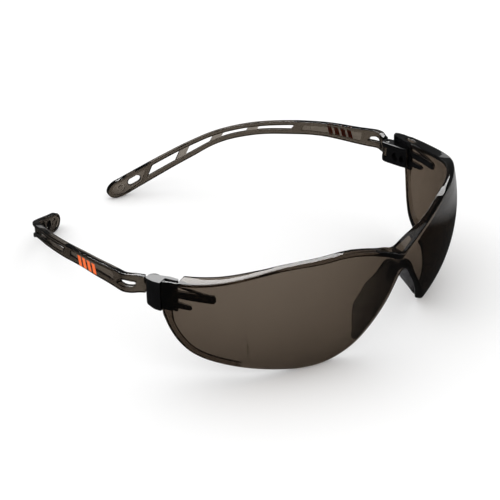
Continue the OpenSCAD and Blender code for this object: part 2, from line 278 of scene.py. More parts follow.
def rounded(sides, radii, step=0.8, n=6):
    """Closed loop from open sides that meet at corners; radii[i] is the rounding where side i starts."""
    k = len(sides)
    cut = [resample(trim(s, radii[i], radii[(i + 1) % k]), step) for i, s in enumerate(sides)]
    out = []
    for i in range(k):
        out += cut[i]
        c = Vector(sides[(i + 1) % k][0])
        a, b = cut[i][-1], cut[(i + 1) % k][0]
        if radii[(i + 1) % k] > 0:
            for j in range(1, n):
                t = j / n
                out.append(a * (1 - t) ** 2 + c * 2 * t * (1 - t) + b * t * t)
    clean = []
    for p in out:
        if not clean or (p - clean[-1]).length > 1e-4:
            clean.append(p)
    if (clean[0] - clean[-1]).length < 1e-4:
        clean.pop()
    return clean


def plate(name, outer, holes, profile, grid=1.0, sharp=38.0, to3=None, scale=MM):
    """Solid plate. profile is a list of (inset, level); outer shrinks and the holes grow by inset."""
    outer = ccw([Vector(p) for p in outer])
    holes = [ccw([Vector(p) for p in h]) for h in holes]
    loops = [outer] + holes
    verts, faces, rings = [], [], []
    for inset, level in profile:
        row = []
        for li, lp in enumerate(loops):
            moved = offset_loop(lp, inset if li == 0 else -inset)
            row.append((len(verts), moved))
            verts += [(p.x, p.y, level) for p in moved]
        rings.append(row)
    for r0, r1 in zip(rings, rings[1:]):
        for (b0, l0), (b1, _) in zip(r0, r1):
            m = len(l0)
            faces += [(b0 + j, b0 + (j + 1) % m, b1 + (j + 1) % m, b1 + j) for j in range(m)]
    for row, level, flip in ((rings[0], profile[0][1], True), (rings[-1], profile[-1][1], False)):
        o, hs = row[0][1], [r[1] for r in row[1:]]
        xs, ys = [p.x for p in o], [p.y for p in o]
        extra = []
        if grid:
            allp = [p for lp in [o] + hs for p in lp]
            cells = {}
            for p in allp:
                cells.setdefault((int(p.x // grid), int(p.y // grid)), []).append(p)
            x = math.floor(min(xs) / grid) * grid
            while x < max(xs):
                y = math.floor(min(ys) / grid) * grid
                while y < max(ys):
                    q = Vector((x + 0.013, y + 0.007))
                    ci, cj = int(q.x // grid), int(q.y // grid)
                    near = any((q - p).length < grid * 0.45 for i in (-1, 0, 1) for j in (-1, 0, 1)
                               for p in cells.get((ci + i, cj + j), ()))
                    if not near and inside(q, o) and not any(inside(q, h) for h in hs):
                        extra.append(q)
                    y += grid
                x += grid
        index = [b + j for b, lp in row for j in range(len(lp))]
        base = len(verts)
        verts += [(q.x, q.y, level) for q in extra]
        index += [base + j for j in range(len(extra))]
        for tri in fill(o, hs, extra):
            tri = [index[t] for t in tri]
            faces.append(tuple(reversed(tri)) if flip else tuple(tri))
    if to3:
        verts = [to3(v) for v in verts]
    ob = make_mesh(name, verts, faces, sharp, scale)
    # close the zero-width gaps left beside straight runs of points
    bm = bmesh.new()
    bm.from_mesh(ob.data)
    gaps = [e for e in bm.edges if len(e.link_faces) == 1]
    if gaps:
        bmesh.ops.holes_fill(bm, edges=gaps, sides=12)
        bmesh.ops.recalc_face_normals(bm, faces=bm.faces)
        bm.to_mesh(ob.data)
    bm.free()
    return ob


def edge_profile(r, t0, t1, n=5):
    """Rounded edges of radius r between two levels."""
    out = []
    for k in range(n + 1):
        f = k / n * math.pi / 2
        out.append((r * (1 - math.sin(f)), t0 + r * (1 - math.cos(f))))
    for k in range(n + 1):
        f = (1 - k / n) * math.pi / 2
        out.append((r * (1 - math.sin(f)), t1 - r * (1 - math.cos(f))))
    return out


def lathe(name, profile, cx, cy, seg=64, sharp=38.0):
    """Solid of revolution round a vertical line. profile runs from the axis out and back to the axis."""
    verts, faces = [], []
    ring = []
    for r, z in profile:
        if r < 1e-6:
            ring.append([len(verts)])
            verts.append((cx, cy, z))
        else:
            ring.append([len(verts) + k for k in range(seg)])
            verts += [(cx + r * math.cos(k * math.tau / seg), cy + r * math.sin(k * math.tau / seg), z) for k in range(seg)]
    for a, b in zip(ring, ring[1:]):
        for k in range(seg):
            k2 = (k + 1) % seg
            if len(a) == 1 and len(b) == 1:
                continue
            if len(a) == 1:
                faces.append((a[0], b[k], b[k2]))
            elif len(b) == 1:
                faces.append((a[k], a[k2], b[0]))
            else:
                faces.append((a[k], a[k2], b[k2], b[k]))
    return make_mesh(name, verts, faces, sharp)


def boolean(ob, other, op):
    mod = ob.modifiers.new("b", "BOOLEAN")
    mod.operation, mod.solver, mod.object = op, "EXACT", other
    apply_mods(ob)
    bpy.data.objects.remove(other)
    # weld slivers left by the cut
    bm = bmesh.new()
    bm.from_mesh(ob.data)
    far = max(max(abs(c) for c in v.co) for v in bm.verts)
    d = 0.002 if far > 1 else 0.000002
    bmesh.ops.remove_doubles(bm, verts=bm.verts, dist=d)
    bmesh.ops.triangulate(bm, faces=[f for f in bm.faces if len(f.verts) > 4])
    bmesh.ops.dissolve_degenerate(bm, dist=d, edges=bm.edges)
    gaps = [e for e in bm.edges if len(e.link_faces) == 1]
    if gaps:
        bmesh.ops.holes_fill(bm, edges=gaps, sides=12)
    bm.to_mesh(ob.data)
    bm.free()


def apply_mods(ob):
    bpy.context.view_layer.update()
    dg = bpy.context.evaluated_depsgraph_get()
    me = bpy.data.meshes.new_from_object(ob.evaluated_get(dg))
    old = ob.data
    ob.modifiers.clear()
    ob.data = me
    bpy.data.meshes.remove(old)


def tidy(ob, dist=0.000004, sharp=38.0):
    bm = bmesh.new()
    bm.from_mesh(ob.data)
    bmesh.ops.remove_doubles(bm, verts=bm.verts, dist=dist)
    bmesh.ops.dissolve_degenerate(bm, dist=dist, edges=bm.edges)
    loose = [v for v in bm.verts if not v.link_faces]
    bmesh.ops.delete(bm, geom=loose, context="VERTS")
    bmesh.ops.triangulate(bm, faces=[f for f in bm.faces if len(f.verts) > 4])
    bmesh.ops.recalc_face_normals(bm, faces=bm.faces)
    bad = sum(1 for e in bm.edges if len(e.link_faces) != 2)
    bm.to_mesh(ob.data)
    bm.free()
    smooth(ob, sharp)
    print(f"MESH {ob.name}: {len(ob.data.vertices)} verts, {len(ob.data.polygons)} faces, open or shared edges {bad}")


def mirrored(ob, name):
    me = ob.data.copy()
    me.transform(Matrix.Scale(-1, 4, (1, 0, 0)))
    me.flip_normals()
    me.name = name
    new = bpy.data.objects.new(name, me)
    bpy.context.scene.collection.objects.link(new)
    new.data.update()
    return new


# ------------------------------------------------------------------ lens
def ledge_depth(a):
    b = abs(a)
    w = 0.35
    if b > ledge_end:
        d = lens_t + 0.02 + (curve(LEDGE_D, b) - lens_t) * 0.0
        return d
    d = curve(LEDGE_D, b)
    u = (b - (ledge_end - w)) / w
    if u > 0:
        d = lens_t + (d - 0.45 * (1 - math.sqrt(max(0, 1 - u * u))) - lens_t)
    return d


def bez(a, c, b, n):
    return [a * (1 - t) ** 2 + c * 2 * t * (1 - t) + b * t * t for t in (k / n for k in range(n + 1))]


def lens_section(a, e=0.0, nz=46):
    """Closed section in the plane at turn angle a; e pulls it in all round."""
    b = abs(a)
    zb, zt = zbot(b) + e, ztop(b) - e
    db = min(0.4, lens_end - b)
    dz = (zbot(b + db) - zbot(b - 0.4)) / (0.4 + db) / 1.24 if b + db > b - 0.4 else 0
    lean = min(3.2, math.sqrt(1 + dz * dz))
    d = max(lens_t + 0.02, ledge_depth(b)) - e
    h = min(curve(LEDGE_H, b), (zt - zb) * 0.5)
    flat = d - lens_t + e < 0.05

    def out(z):
        return Vector((rad(b, z, e), z))

    def rim(z):
        if b < 60:
            return 0.0
        w = min((z - zb) / lean, (lens_end - b) * 1.24)
        return rim_extra * sstep((rim_w + 0.1 - w) / 0.7) * sstep((b - 60) / 4)

    def inn(z):
        return Vector((rad(b, z, lens_t + rim(z) - e), z))

    ro = rad(b, zt, e)
    zu = zt - h
    rise = 0.12 * (d + e - lens_t)
    c1 = Vector((ro, zt))
    lift = curve(LENS_TOP, math.sqrt(b * b + 4)) - ztop(b)
    c2 = Vector((ro - (d - e), zt + rise + lift))
    c3 = Vector((ro - (d - e), zu + rise + lift))
    c4 = inn(zu)
    rb, rt, rl, rf = 0.42 * lean, 0.45, 0.4, (0.5 if not flat else 0.05)
    zs = [zb + rb + (zt - rt - zb - rb) * i / nz for i in range(nz + 1)]
    pts = [out(z) for z in zs]
    # outer top corner
    v12 = (c2 - c1).normalized()
    pts += bez(pts[-1], c1, c1 + v12 * min(rt, (c2 - c1).length * 0.45), 5)[1:]
    # rear top corner of the ledge
    l23 = (c3 - c2).length
    L = min(rl, (c2 - c1).length * 0.45, l23 * 0.4)
    pts += bez(c2 - v12 * L, c2, c2 + (c3 - c2).normalized() * L, 5)
    # rear bottom corner
    v34 = (c4 - c3)
    L = min(rl, v34.length * 0.4, l23 * 0.4)
    v34n = v34.normalized() if v34.length > 1e-6 else Vector((0, -1))
    pts += bez(c3 - (c3 - c2).normalized() * L, c3, c3 + v34n * L, 4)
    # fillet under the ledge, then the inner face down
    L = min(rf, v34.length * 0.45)
    zr = zb + (rim_w + 0.1) * lean
    hi, lo = zu - max(L, 0.05), zb + rb
    if b > 58 and lo + 1.0 < zr < hi - 1.5:
        m1 = 30
        zi = [hi + (zr + 0.1 * lean - hi) * k / m1 for k in range(m1)]
        zi += [zr + 0.1 * lean - 0.9 * lean * k / 8 for k in range(8)]
        z2 = max(lo + 0.3, zr - 0.8 * lean)
        zi += [z2 + (lo - z2) * k / (nz - m1 - 8) for k in range(nz - m1 - 8 + 1)]
        zi = [max(lo, z) for z in zi]
    else:
        zi = [hi + (lo - hi) * k / nz for k in range(nz + 1)]
    pts += bez(c4 - v34n * L, c4, inn(zi[0]), 4)
    pts += [inn(z) for z in zi[1:]]
    # bottom edge, rounded over
    ci, co = inn(zb), out(zb)
    mid = (ci + co) / 2
    pts += bez(inn(lo), ci, mid, 5)[1:]
    pts += bez(mid, co, pts[0], 5)[1:-1]
    pts = [at(a, p.x, p.y) for p in pts]
    return [Vector((p.x, max(p.y, -80.5), p.z)) for p in pts]


def build_lens():
    half = [k * 0.4 for k in range(0, 23)]
    a = 9.4
    while a < 60:
        half.append(a)
        a += 0.62
    while a < ledge_end - 0.5:
        half.append(a)
        a += 0.4
    half += [ledge_end - 0.36, ledge_end - 0.26, ledge_end - 0.17, ledge_end - 0.09, ledge_end - 0.03, ledge_end,
             ledge_end + 0.06, ledge_end + 0.25]
    a = ledge_end + 0.5
    while a < lens_end - 0.4:
        half.append(a)
        a += 0.28
    half.append(lens_end - 0.36)
    r = 0.38
    ends = [(lens_end - 0.30 * (1 - math.sin(k / 5 * math.pi / 2)), r * (1 - math.cos(k / 5 * math.pi / 2))) for k in range(1, 6)]
    secs = [lens_section(-aa, ee) for aa, ee in reversed(ends)]
    secs += [lens_section(-aa) for aa in reversed(half[1:])]
    secs += [lens_section(aa) for aa in half]
    secs += [lens_section(aa, ee) for aa, ee in ends]
    ob = skin("lens_smoke", secs, 45)
    tidy(ob, 0.000001, 45)
    return ob


# ------------------------------------------------------------------ nose piece
def pad_root(s):
    b = abs(s)
    a = curve(PAD_A, b)
    return on_lens(a * (-1 if s < 0 else 1), zbot(a) + 0.9, lens_t + nose_gap)


def across(s):
    e = 0.02
    p = pad_root(min(1, s + e)) - pad_root(max(-1, s - e))
    t = Vector((p.x, 0, p.z)).normalized()
    return Vector((t.z, 0, -t.x))


def behind_lens(p):
    """Point on the lens's rear face at the same sideways place and height."""
    a, o = 8.0, lens_t + nose_gap
    for _ in range(6):
        a = math.degrees(math.asin(abs(p.x) / rad(a, p.z, o)))
    return Vector((p.x, lens_cy - rad(a, p.z, o) * math.cos(math.radians(a)), p.z))


def pad_section(s, e=0.0):
    b = abs(s)
    r, c = pad_root(s), across(s)
    d, o = curve(PAD_D, b), curve(PAD_O, b)
    t = curve(PAD_T, b)
    k = Vector((0, 1, 0))
    n = 14
    L = 0.3

    def low(u):
        return r + k * (e + (d - 2 * e) * u) - c * (o * u * u + e)

    push = behind_lens(r - c * t) - (r - c * t)

    def high(u):
        return r + k * (e + (d - 2 * e) * u) + push * (1 - u) - c * (o * u * u) - c * (t * (1 - 0.45 * u) - e)

    a0 = L / d
    us = [a0 + (1 - 2 * a0) * i / n for i in range(n + 1)]
    pts = [low(u) for u in us]
    pts += bez(pts[-1], low(1), (low(1) + high(1)) / 2, 4)[1:]
    pts += bez((low(1) + high(1)) / 2, high(1), high(us[-1]), 4)[1:]
    pts += [high(u) for u in reversed(us[:-1])]
    pts += bez(high(us[0]), high(0), (low(0) + high(0)) / 2, 4)[1:]
    pts += bez((low(0) + high(0)) / 2, low(0), low(us[0]), 4)[1:-1]
    return pts


def build_nose():
    n = 120
    ss = [-1 + 2 * i / n for i in range(n + 1)]
    secs = [pad_section(-1, 0.3), pad_section(-0.999, 0.14), pad_section(-0.996, 0.04)]
    secs += [pad_section(s) for s in ss[1:-1]]
    secs += [pad_section(0.996, 0.04), pad_section(0.999, 0.14), pad_section(1, 0.3)]
    ob = skin("nose_pad", secs, 50)
    tidy(ob, 0.000001, 50)
    return ob


# ------------------------------------------------------------------ temples
def px(s):
    return Vector((curve(TX, s), curve(TY, s)))


def pdir(s):
    return (px(min(s + 0.7, 127)) - px(max(s - 0.7, 0))).normalized()


def inward(s):
    p = pdir(s)
    return Vector((-p.y, p.x))


def t_mid(s):
    return (curve(TT, s) + curve(TB, s)) / 2


def t_half(s):
    r = 1 if s <= tip_c else math.sqrt(max(0.0, 1 - ((s - tip_c) / tip_r) ** 2))
    return (curve(TT, s) - curve(TB, s)) / 2 * r


def t_up(s):
    return t_mid(s) + t_half(s)


def t_lo(s):
    return t_mid(s) - t_half(s)


def tp(v):
    s, z, o = v
    p, q = px(s), inward(s)
    return Vector((min(p.x + q.x * o, 72.96), p.y + q.y * o, z))


def along(s0, s1, f, step=0.8):
    n = max(2, math.ceil(abs(s1 - s0) / step))
    return [Vector((s0 + (s1 - s0) * i / n, f(s0 + (s1 - s0) * i / n))) for i in range(n + 1)]


def slot_loop(s0, s1, k0, k1, top, bot, r=0.55):
    up = along(s0 - k0 / 2, s1 - k1 / 2, top)
    dn = along(s1 + k1 / 2, s0 + k0 / 2, bot)
    return rounded([up, [up[-1], dn[0]], dn, [dn[-1], up[0]]], [r, r, r, r], 0.6)


def rail_u(s):
    return t_up(s) - rail_top


def rail_l(s):
    return t_lo(s) + rail_bot


WINDOWS = [(46.2, 61.2, 1.8, 1.8), (65.9, 76.4, 1.8, 1.8), (81.1, 91.2, 2.2, 2.2), (95.5, 107.6, 2.4, 2.4)]


def tip_loop(step=0.6, pull=0.0, s0=0.4):
    """Outline of the whole temple. The pull argument is not used."""
    up = along(s0, tip_c, t_up)
    arc = []
    for k in range(1, 24):
        t = k / 24 * math.pi
        s = tip_c + tip_r * math.sin(t)
        arc.append(Vector((s, t_up(s) if t < math.pi / 2 else t_lo(s))))
    dn = along(tip_c, s0, t_lo)
    loop = up + arc + dn
    loop = resample(loop, step)
    return loop


def cutter(name, loop, depth_level, face_level, flare=0.22, n=4):
    """Pocket cutter with softened mouth: straight below, opening out at the face."""
    sgn = 1 if face_level > depth_level else -1
    prof = [(0.12, depth_level), (0.03, depth_level + sgn * 0.05), (0.0, depth_level + sgn * 0.14)]
    for k in range(1, n + 1):
        f = k / n * math.pi / 2
        prof.append((-flare * (1 - math.cos(f)), face_level - sgn * flare * (1 - math.sin(f))))
    prof.append((-flare, face_level + sgn * 0.6))
    if sgn < 0:
        prof = list(reversed(prof))
    return plate(name, loop, [], prof, grid=0, scale=1)


def build_temple():
    outer = tip_loop()
    # slot of the whole windowed stretch, seen at the faces
    gap = 0.0
    long_slot = slot_loop(46.2, 107.6, 1.8, 2.4, lambda s: rail_u(s) - gap, lambda s: rail_l(s) + gap, 0.55)
    hinge_slot = slot_loop(3.6, 11.5, 0.4, 1.6, lambda s: t_mid(s) + 1.25 - 0.5 * abs(s - 7.5) / 4,
                           lambda s: t_mid(s) - 1.15 + 0.1 * abs(s - 7.5) / 4, 0.8)
    mid = 114.5
    up = math.atan2(t_mid(mid + 1) - t_mid(mid - 1), 2)

    def oval(r, half, n=40, s=mid):
        out = []
        for k in range(n):
            t = k * math.tau / n
            x = r * math.cos(t) + (half if math.cos(t) > 0 else -half)
            y = r * math.sin(t)
            out.append(Vector((s + x * math.cos(up) - y * math.sin(up), t_mid(s) + x * math.sin(up) + y * math.cos(up))))
        return out

    eye_hole = oval(1.66, 1.25)
    r = 0.42
    ob = plate("temple_left_arm_mesh", outer, [long_slot, hinge_slot, eye_hole], edge_profile(r, 0, temple_t), grid=0.9, scale=1)
    # pockets on the inner face: the panel, and the tip round the cord hole
    pan = slot_loop(14.8, 41.6, 0.3, 0.9, lambda s: rail_u(s) + 0.1, lambda s: rail_l(s) - 0.1, 0.7)
    c = cutter("c1", pan, temple_t - panel_recess, temple_t)
    boolean(ob, c, "DIFFERENCE")
    tipu = along(109.3, 121.6, lambda s: t_up(s) - rail_top + 0.45 * sstep((s - 110) / 8))
    tipd = along(121.6, 111.4, lambda s: t_lo(s) + rail_bot - 0.65 * sstep((s - 110) / 8))
    e0, e1 = tipu[-1], tipd[0]
    half = (e0 - e1).length / 2
    cen = (e0 + e1) / 2
    arc = [Vector((cen.x + 2.9 * math.sin(t) + (e0.x - cen.x) * math.cos(t), cen.y + half * math.cos(t))) for t in
           [k / 14 * math.pi for k in range(1, 14)]]
    tip_pocket = rounded([tipu + arc + tipd, [tipd[-1], tipu[0]]], [0.5, 0.5], 0.5)
    c = cutter("c2", tip_pocket, temple_t - bar_recess, temple_t)
    boolean(ob, c, "DIFFERENCE")
    # web: the bars between the windows, set back from both faces
    grow = 0.7
    web_out = slot_loop(45.6, 108.4, 1.8, 2.4, lambda s: rail_u(s) + grow, lambda s: rail_l(s) - grow, 0.3)
    wins = []
    for s0, s1, k0, k1 in WINDOWS[1:3]:
        wins.append(slot_loop(s0, s1, k0, k1, rail_u, rail_l, 0.5))
    bars = []
    for (a0, a1, ka0, ka1), (b0, b1, kb0, kb1) in zip(WINDOWS, WINDOWS[1:]):
        kk0, kk1 = ka1, kb0
        up_l = [Vector((a1 - kk0 / 2 - kk0 / 2 * grow / 3, rail_u(a1 - kk0 / 2) + grow)),
                Vector((b0 - kk1 / 2 - kk1 / 2 * grow / 3, rail_u(b0 - kk1 / 2) + grow))]
        dn_l = [Vector((b0 + kk1 / 2 + kk1 / 2 * grow / 3, rail_l(b0 + kk1 / 2) - grow)),
                Vector((a1 + kk0 / 2 + kk0 / 2 * grow / 3, rail_l(a1 + kk0 / 2) - grow))]
        # sides curve out where they meet the rails
        right = []
        left = []
        for k in range(0, 17):
            u = k / 16
            f = 0.55 * (max(0, 1 - (u * 8.5)) ** 2 + max(0, 1 - ((1 - u) * 8.5)) ** 2)
            p = up_l[1].lerp(dn_l[0], u)
            right.append(p + Vector((f, 0)))
            p = dn_l[1].lerp(up_l[0], u)
            left.append(p - Vector((f, 0)))
        up_side = [left[-1], right[0]]
        dn_side = [right[-1], left[0]]
        loop = up_side[:1] + right + left
        bars.append(loop)
    for k, lp in enumerate(bars):
        lp = resample(lp + [lp[0]], 0.35)[:-1]
        b = plate(f"bar{k}", lp, [], edge_profile(0.2, bar_recess, temple_t - bar_recess, 3), grid=0.7, scale=1)
        boolean(ob, b, "UNION")
    # ring moulded in the tip pocket: a groove round a small boss
    def circle(cx, cz, rr, n=40):
        return [Vector((cx + rr * math.cos(k * math.tau / n), cz + rr * math.sin(k * math.tau / n))) for k in range(n)]

    rc = (120.5, t_mid(120.5))
    face = temple_t - bar_recess
    g = plate("g", circle(*rc, 1.75), [circle(*rc, 1.0)], [(0.1, face - 0.45), (0.0, face - 0.3), (0.0, face + 0.4)], grid=0, scale=1)
    boolean(ob, g, "DIFFERENCE")
    # small ejector mark in the panel
    ec = (37.2, t_mid(37.2) + 0.1)
    g = plate("g2", circle(*ec, 0.85), [], [(0.05, temple_t - panel_recess - 0.18), (0.0, temple_t - panel_recess - 0.1), (0.0, temple_t)], grid=0, scale=1)
    boolean(ob, g, "DIFFERENCE")
    # bend along the plan line
    bm = bmesh.new()
    bm.from_mesh(ob.data)
    bmesh.ops.triangulate(bm, faces=[f for f in bm.faces if len(f.verts) > 4])
    long_edges = [e for e in bm.edges if e.calc_length() > 1.6]
    if long_edges:
        bmesh.ops.subdivide_edges(bm, edges=long_edges, cuts=1, use_grid_fill=False)
        bmesh.ops.triangulate(bm, faces=[f for f in bm.faces if len(f.verts) > 4])
    for v in bm.verts:
        v.co = tp(v.co) * MM
    bmesh.ops.recalc_face_normals(bm, faces=bm.faces)
    bm.to_mesh(ob.data)
    bm.free()
    # tongue and eye round the pin
    z0, z1, b = ear_z1 + 0.3, ear_z2 - 0.3, 0.25
    tongue = plate("tongue", rounded([[Vector((69.1, -23.6)), Vector((70.0, -19.9))], [Vector((70.0, -19.9)), Vector((68.3, -19.0))],
                                      [Vector((68.3, -19.0)), Vector((65.4, -21.8))], [Vector((65.4, -21.8)), Vector((69.1, -23.6))]],
                                     [0.2] * 4, 0.5, 3), [], edge_profile(0.2, z0 + 0.1, z1 - 0.1, 3), grid=0.8)
    boolean(ob, tongue, "UNION")
    prof = [(0, z0), (eye_r - b, z0)]
    prof += [(eye_r - b + b * math.sin(k / 4 * math.pi / 2), z0 + b - b * math.cos(k / 4 * math.pi / 2)) for k in range(1, 5)]
    prof += [(eye_r - b + b * math.cos(k / 4 * math.pi / 2), z1 - b + b * math.sin(k / 4 * math.pi / 2)) for k in range(0, 5)]
    prof += [(0, z1)]
    eye = lathe("eye", prof, hinge_x, hinge_y, 72)
    boolean(ob, eye, "UNION")
    bore = lathe("bore", [(0, 20), (pin_r + pin_gap, 20), (pin_r + pin_gap, 45), (0, 45)], hinge_x, hinge_y, 48)
    boolean(ob, bore, "DIFFERENCE")
    ob.name = "temple_left_arm_mesh"
    tidy(ob)
    return ob


# ------------------------------------------------------------------ hinge blocks
def flat2(p):
    return Vector((p.x, p.y))


def prong(name, a0, a1, lo0, hi0, lo1, hi1, t0, t1, n=26):
    """Tongue along the inside of the lens with rounded edges and a blunt tip."""
    secs = []
    for i in range(n + 1):
        u = i / n
        a = a0 + (a1 - a0) * u
        lo, hi, t = lo0 + (lo1 - lo0) * u, hi0 + (hi1 - hi0) * u, t0 + (t1 - t0) * u
        dist = (1 - u) * abs(a1 - a0) * 1.24
        e = 0.0
        if dist < 0.9:
            e = 0.9 - math.sqrt(max(0, 0.81 - (0.9 - dist) ** 2))
            e = min(e, (hi - lo) * 0.42)
        if i == n:
            e = min(0.8, (hi - lo) * 0.42)
        lo, hi = lo + e, hi - e
        base = lens_t + rim_extra * (1 - u) + blk_gap
        te = min(e, t * 0.35) if dist < 0.9 else 0
        p = [(base, lo), (base, hi), (base + t - te, hi), (base + t - te, lo)]
        L = min(0.32, (hi - lo) * 0.3, t * 0.3)
        pts = []
        for k in range(4):
            q0, q1, q2 = Vector(p[k - 1]), Vector(p[k]), Vector(p[(k + 1) % 4])
            v0, v1 = (q0 - q1).normalized(), (q2 - q1).normalized()
            pts += bez(q1 + v0 * L, q1, q1 + v1 * L, 4)
        secs.append([on_lens(a, z, o) for o, z in pts])
    return skin(name, list(reversed(secs)), 40)


def soft_plate(name, plan, z0, z1, r=0.5, edge=0.28):
    n = len(plan)
    plan = [Vector(p) for p in plan]
    sides = [[plan[i], plan[(i + 1) % n]] for i in range(n)]
    radii = []
    for i in range(n):
        a, b, c = plan[i - 1], plan[i], plan[(i + 1) % n]
        radii.append(min(r, (b - a).length * 0.4, (c - b).length * 0.4))
    return plate(name, rounded(sides, radii, 0.5, 4), [], edge_profile(edge, z0, z1, 4), grid=0.8)


def build_block():
    d0 = lens_t + rim_extra + 0.45
    clamp = [flat2(on_lens(81.75, 33, d0)), flat2(on_lens(81.75, 33, 0)), (72.4, -27.0), (72.2, -24.2), (71.6, -23.1),
             (69.2, -23.9), (66.9, -30.5), (66.5, -33.8)]
    clamp += [flat2(on_lens(a, 33, d0)) for a in (77.5, 79, 80.5)]
    body = [(69.0, -28.0), (70.3, -25.0)]
    body += [(hinge_x + ear_r * math.cos(math.radians(i * 8 - 10)), hinge_y + ear_r * math.sin(math.radians(i * 8 - 10))) for i in range(23)]
    body += [(64.9, -23.4), (64.9, -30.2), (65.3, -33.0), (67.2, -33.2)]
    ob = soft_plate("hinge_block_left_mesh", clamp, 27.0, clamp_top + 0.7, 0.3, 0.2)
    # top slopes down towards the outer side
    t = math.radians(5)
    roof = make_mesh("roof", [(72.4 + u * math.cos(t) + v * math.sin(t), y, clamp_top - 0.15 - u * math.sin(t) + v * math.cos(t))
                              for y in (-40, -20) for u, v in ((-12, 0), (4, 0), (4, 5), (-12, 5))],
                     [(0, 1, 2, 3), (7, 6, 5, 4), (0, 4, 5, 1), (1, 5, 6, 2), (2, 6, 7, 3), (3, 7, 4, 0)])
    boolean(ob, roof, "DIFFERENCE")
    boolean(ob, soft_plate("body", body, ear_z0, ear_z3, 0.5, 0.25), "UNION")
    # slanted underside at the rear
    y0, z0, t = -31.4, 26.3, math.radians(12)
    wedge = make_mesh("wedge", [(x, y0 + u * math.cos(t) - v * math.sin(t), z0 + u * math.sin(t) + v * math.cos(t))
                                for x in (60, 80) for u, v in ((0, 0), (20, 0), (20, -8), (0, -8))],
                      [(0, 1, 2, 3), (7, 6, 5, 4), (0, 4, 5, 1), (1, 5, 6, 2), (2, 6, 7, 3), (3, 7, 4, 0)])
    boolean(ob, wedge, "DIFFERENCE")
    boolean(ob, prong("p1", 79.2, 66.0, 32.4, 34.9, 32.5, 35.6, 1.5, 1.1), "UNION")
    boolean(ob, prong("p3", 79.3, 67.6, 37.1, 37.8, 34.8, 35.5, 1.4, 1.0), "UNION")
    boolean(ob, prong("p2", 78.9, 73.0, 28.4, 31.0, 28.9, 30.5, 1.4, 1.0), "UNION")
    room = lathe("room", [(0, ear_z1), (eye_r + 0.45, ear_z1), (eye_r + 0.45, ear_z2), (0, ear_z2)], hinge_x, hinge_y, 64)
    boolean(ob, room, "DIFFERENCE")
    bore = lathe("bore2", [(0, 20), (pin_r, 20), (pin_r, 45), (0, 45)], hinge_x, hinge_y, 48)
    boolean(ob, bore, "DIFFERENCE")
    # moulded pockets in the inner side of the body
    for cy, cz, ry, rz in ((-27.6, 31.6, 1.15, 1.5), (-30.9, 31.2, 1.0, 1.3)):
        verts, n = [], 28
        for x, k in ((64.0, 1.25), (64.9, 1.12), (65.5, 1.0), (66.0, 0.94)):
            verts += [(x, cy + ry * k * math.cos(i * math.tau / n), cz + rz * k * math.sin(i * math.tau / n)) for i in range(n)]
        faces = [(r * n + i, r * n + (i + 1) % n, (r + 1) * n + (i + 1) % n, (r + 1) * n + i) for r in range(3) for i in range(n)]
        faces += [tuple(range(n)), tuple(3 * n + i for i in reversed(range(n)))]
        boolean(ob, make_mesh("pk", verts, faces), "DIFFERENCE")
    tidy(ob)
    return ob


def build_pin():
    z0, z1, b = ear_z0 + 0.3, ear_z3 - 0.3, 0.16
    r = pin_r - 0.004
    prof = [(0, z0 + 0.02), (r * 0.45, z0 + 0.0), (r - b, z0 + 0.02)]
    prof += [(r - b + b * math.sin(k / 3 * math.pi / 2), z0 + 0.02 + b - b * math.cos(k / 3 * math.pi / 2)) for k in range(1, 4)]
    zz = z0 + 1.2
    while zz < z1 - 1.0:
        prof.append((r, zz))
        zz += 0.8
    prof += [(r - b + b * math.cos(k / 3 * math.pi / 2), z1 - 0.02 - b + b * math.sin(k / 3 * math.pi / 2)) for k in range(0, 4)]
    prof += [(r * 0.45, z1), (0, z1 - 0.02)]
    return lathe("hinge_pin_left_mesh", prof, hinge_x, hinge_y, 48)


# ------------------------------------------------------------------ printed marks: four slanted bars, no lettering
def build_mark(name, s0):
    verts, faces = [], []
    lift = -0.035
    w, g, lean = 1.95, 1.0, 0.9
    for b in range(4):
        a = s0 + b * (w + g)
        zc = t_mid(a + w / 2) - 0.45
        h = 1.9
        loop = rounded([[Vector((a - lean / 2, zc - h)), Vector((a + w - lean / 2, zc - h))],
                        [Vector((a + w - lean / 2, zc - h)), Vector((a + w + lean / 2, zc + h))],
                        [Vector((a + w + lean / 2, zc + h)), Vector((a + lean / 2, zc + h))],
                        [Vector((a + lean / 2, zc + h)), Vector((a - lean / 2, zc - h))]], [0.25] * 4, 0.35, 4)
        m = plate(f"m{b}", loop, [], [(0.03, -0.0), (0.0, -0.012), (0.0, -0.028), (0.02, lift)], grid=0.6, scale=1)
        base = len(verts)
        verts += [tp(v.co) for v in m.data.vertices]
        faces += [tuple(base + i for i in p.vertices) for p in m.data.polygons]
        bpy.data.objects.remove(m)
    return make_mesh(name, verts, faces, 40)


# ------------------------------------------------------------------ materials
def nodes_of(name):
    m = bpy.data.materials.new(name)
    m.use_nodes = True
    nt = m.node_tree
    p = next(n for n in nt.nodes if n.type == "BSDF_PRINCIPLED")
    out = next(n for n in nt.nodes if n.type == "OUTPUT_MATERIAL")
    return m, nt, p, out


def ramp(nt, src, stops):
    r = nt.nodes.new("ShaderNodeValToRGB")
    el = r.color_ramp.elements
    while len(el) < len(stops):
        el.new(0.5)
    for e, (pos, col) in zip(el, stops):
        e.position = pos
        e.color = (*col, 1) if len(col) == 3 else col
    nt.links.new(src, r.inputs[0])
    return r.outputs[0]


